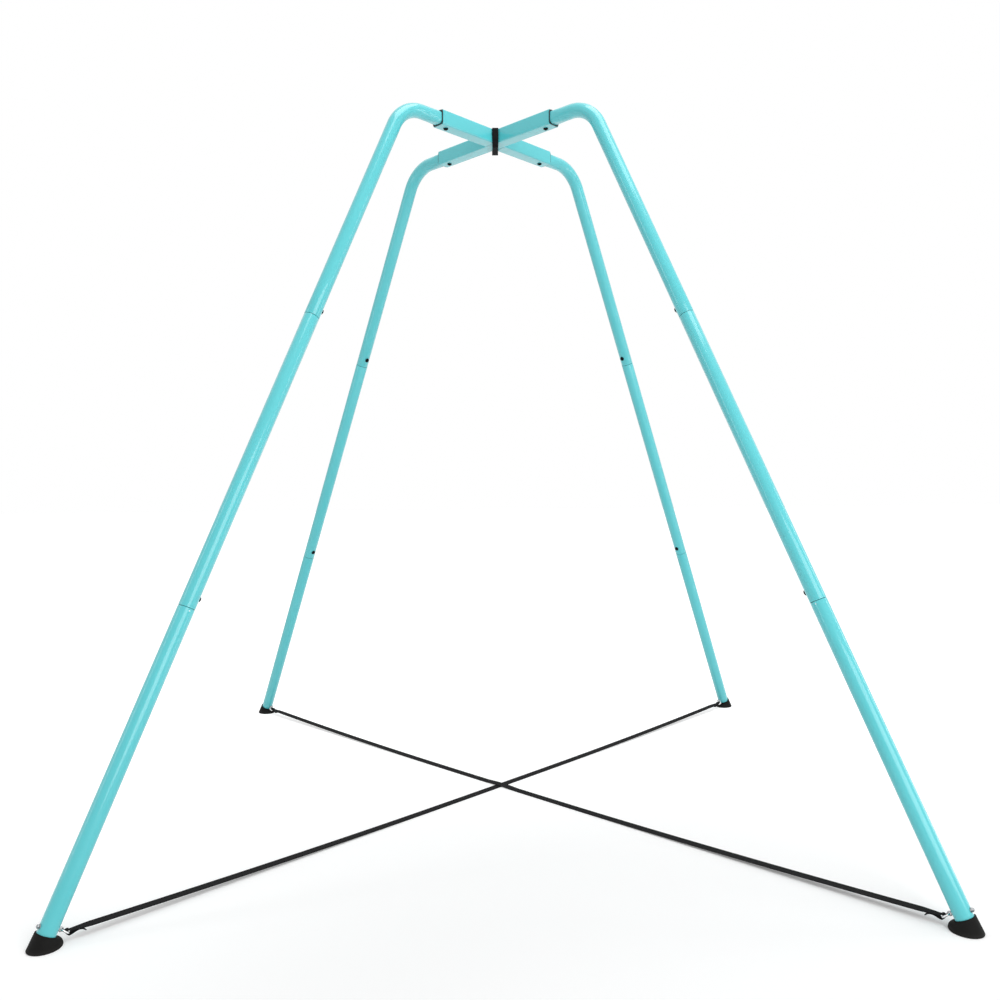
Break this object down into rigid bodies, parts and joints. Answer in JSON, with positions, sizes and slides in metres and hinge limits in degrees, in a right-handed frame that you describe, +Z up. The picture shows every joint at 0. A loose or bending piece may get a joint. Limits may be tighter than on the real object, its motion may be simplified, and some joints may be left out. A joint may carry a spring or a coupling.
{
  "type": "a-frame swing stand",
  "caption": "Tall tubular swing stand: bent legs spread from a square-section cross to rubber feet, with webbing ground straps and a webbing hanging sling under the cross.",
  "frame": {"origin": "on the floor, under the middle of the cross", "axes": "+Z up, front towards -Y, the four legs on the diagonals"},
  "size_m": [2.0666, 2.0666, 2.1186],
  "materials": {
    "painted_steel": "smooth semi-gloss turquoise powder coat",
    "black_plastic": "moulded satin black",
    "black_rubber": "moulded matte black rubber",
    "black_steel": "black coated steel screws",
    "zinc_steel": "bright zinc-plated steel",
    "black_webbing": "plain woven black webbing"
  },
  "bodies": {
    "stand": {"hub_cross": "painted_steel", "upper_tube_front_left": "painted_steel", "upper_tube_front_right": "painted_steel", "upper_tube_rear_left": "painted_steel", "upper_tube_rear_right": "painted_steel", "middle_tube_front_left": "painted_steel", "middle_tube_front_right": "painted_steel", "middle_tube_rear_left": "painted_steel", "middle_tube_rear_right": "painted_steel", "lower_tube_front_left": "painted_steel", "lower_tube_front_right": "painted_steel", "lower_tube_rear_left": "painted_steel", "lower_tube_rear_right": "painted_steel", "hub_bush_front_left": "black_plastic", "hub_bush_front_right": "black_plastic", "hub_bush_rear_left": "black_plastic", "hub_bush_rear_right": "black_plastic", "rubber_foot_front_left": "black_rubber", "rubber_foot_front_right": "black_rubber", "rubber_foot_rear_left": "black_rubber", "rubber_foot_rear_right": "black_rubber", "hub_bolt_front_left": "black_steel", "hub_bolt_front_right": "black_steel", "hub_bolt_rear_left": "black_steel", "hub_bolt_rear_right": "black_steel", "upper_joint_bolt_front_left": "black_steel", "upper_joint_bolt_front_right": "black_steel", "upper_joint_bolt_rear_left": "black_steel", "upper_joint_bolt_rear_right": "black_steel", "lower_joint_bolt_front_left": "black_steel", "lower_joint_bolt_front_right": "black_steel", "lower_joint_bolt_rear_left": "black_steel", "lower_joint_bolt_rear_right": "black_steel", "eye_bolt_front_left": "zinc_steel", "eye_bolt_front_right": "zinc_steel", "eye_bolt_rear_left": "zinc_steel", "eye_bolt_rear_right": "zinc_steel", "eye_washer_front_left": "zinc_steel", "eye_washer_front_right": "zinc_steel", "eye_washer_rear_left": "zinc_steel", "eye_washer_rear_right": "zinc_steel", "eye_nut_front_left": "zinc_steel", "eye_nut_front_right": "zinc_steel", "eye_nut_rear_left": "zinc_steel", "eye_nut_rear_right": "zinc_steel", "ground_strap_flat": "black_webbing", "ground_strap_over": "black_webbing", "sling_wrap": "black_webbing"},
    "sling": {"sling_loop": "black_webbing"},
    "ring_front_left": {"strap_ring_front_left": "zinc_steel"},
    "ring_front_right": {"strap_ring_front_right": "zinc_steel"},
    "ring_rear_left": {"strap_ring_rear_left": "zinc_steel"},
    "ring_rear_right": {"strap_ring_rear_right": "zinc_steel"}
  },
  "joints": [
    {"name": "sling_swing", "type": "hinge", "parent": "stand", "child": "sling", "pos_m": [0, 0, 2.0715], "axis": [0, 1, 0], "range_deg": [-20, 20]},
    {"name": "ring_lift_front_left", "type": "hinge", "parent": "stand", "child": "ring_front_left", "pos_m": [-0.97392, -0.97392, 0.02816], "axis": [0.7071, -0.7071, 0], "range_deg": [0, 5]},
    {"name": "ring_lift_front_right", "type": "hinge", "parent": "stand", "child": "ring_front_right", "pos_m": [0.97392, -0.97392, 0.02816], "axis": [0.7071, 0.7071, 0], "range_deg": [0, 5]},
    {"name": "ring_lift_rear_left", "type": "hinge", "parent": "stand", "child": "ring_rear_left", "pos_m": [-0.97392, 0.97392, 0.02816], "axis": [-0.7071, -0.7071, 0], "range_deg": [0, 5]},
    {"name": "ring_lift_rear_right", "type": "hinge", "parent": "stand", "child": "ring_rear_right", "pos_m": [0.97392, 0.97392, 0.02816], "axis": [-0.7071, 0.7071, 0], "range_deg": [0, 5]}
  ]
}
